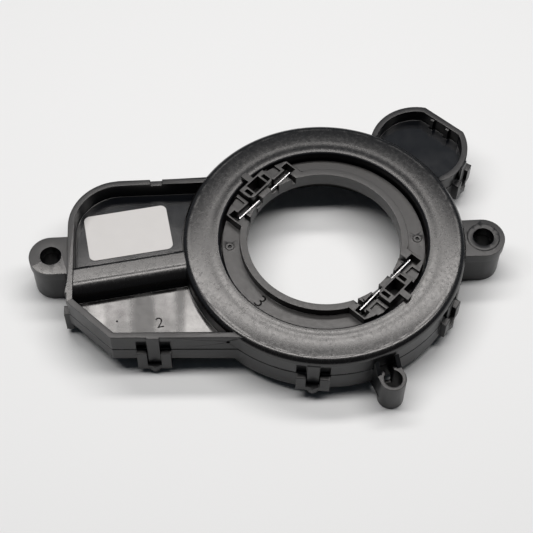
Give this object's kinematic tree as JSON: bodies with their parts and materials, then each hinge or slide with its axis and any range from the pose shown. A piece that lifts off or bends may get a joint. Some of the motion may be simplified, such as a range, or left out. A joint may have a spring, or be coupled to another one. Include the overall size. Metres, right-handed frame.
{
  "type": "steering angle sensor",
  "caption": "Flat black steering angle sensor with a ring housing around a column bore, a box with two pockets, a round well and two fixing ears.",
  "frame": {"origin": "on the axis of the column bore, in the top face of the rotor's hub ring", "axes": "+Z along the bore axis, out of the cover's side; +X from the left ear by the box to the right ear; +Y towards the side with the round well and the connector"},
  "size_m": [0.1244, 0.0852, 0.0175],
  "materials": {
    "grained_black": "satin",
    "lower_black": "matte",
    "rotor_black": "satin",
    "spring_steel": "brushed",
    "natural_plastic": "matte",
    "magnet_grey": "satin",
    "board_green": "satin",
    "chip_black": "matte",
    "can_aluminium": "satin",
    "ceramic_tan": "matte",
    "pin_metal": "satin",
    "label_white": "matte"
  },
  "bodies": {
    "housing": {"upper_cover": "grained_black", "lower_housing": "lower_black", "circuit_board": "board_green", "sensor_chip_a": "chip_black", "sensor_chip_b": "chip_black", "microcontroller": "chip_black", "bus_transceiver": "chip_black", "voltage_regulator": "chip_black", "filter_capacitor": "can_aluminium", "quartz_crystal": "can_aluminium", "ceramic_capacitors": "ceramic_tan", "chip_resistors": "chip_black", "connector_pins": "pin_metal", "label": "label_white"},
    "rotor": {"rotor": "rotor_black"},
    "jaw_back": {"clamp_jaw_back": "rotor_black", "spring_wire_back": "spring_steel"},
    "jaw_front": {"clamp_jaw_front": "rotor_black", "spring_wire_front": "spring_steel"},
    "gear_a": {"measuring_gear_a": "natural_plastic", "sensing_magnet_a": "magnet_grey"},
    "gear_b": {"measuring_gear_b": "natural_plastic", "sensing_magnet_b": "magnet_grey"}
  },
  "joints": [
    {"name": "rotor_spin", "type": "hinge", "parent": "housing", "child": "rotor", "pos_m": [0, 0, 0], "axis": [0, 0, 1], "continuous": true},
    {"name": "jaw_back_slide", "type": "slide", "parent": "rotor", "child": "jaw_back", "axis": [-0.7071, 0.7071, 0], "range_m": [0, 0.0005], "stiffness_N_per_m": 2000},
    {"name": "jaw_front_slide", "type": "slide", "parent": "rotor", "child": "jaw_front", "axis": [0.7071, -0.7071, 0], "range_m": [0, 0.0005], "stiffness_N_per_m": 2000},
    {"name": "gear_a_spin", "type": "hinge", "parent": "housing", "child": "gear_a", "pos_m": [0.02671, 0.02814, -0.008], "axis": [0, 0, 1], "continuous": true},
    {"name": "gear_b_spin", "type": "hinge", "parent": "housing", "child": "gear_b", "pos_m": [-0.03608, -0.01313, -0.008], "axis": [0, 0, 1], "continuous": true}
  ],
  "couplings": [
    {"joint": "gear_a_spin", "follows": "rotor_spin", "ratio": -3.4091},
    {"joint": "gear_b_spin", "follows": "rotor_spin", "ratio": -3.5714}
  ]
}
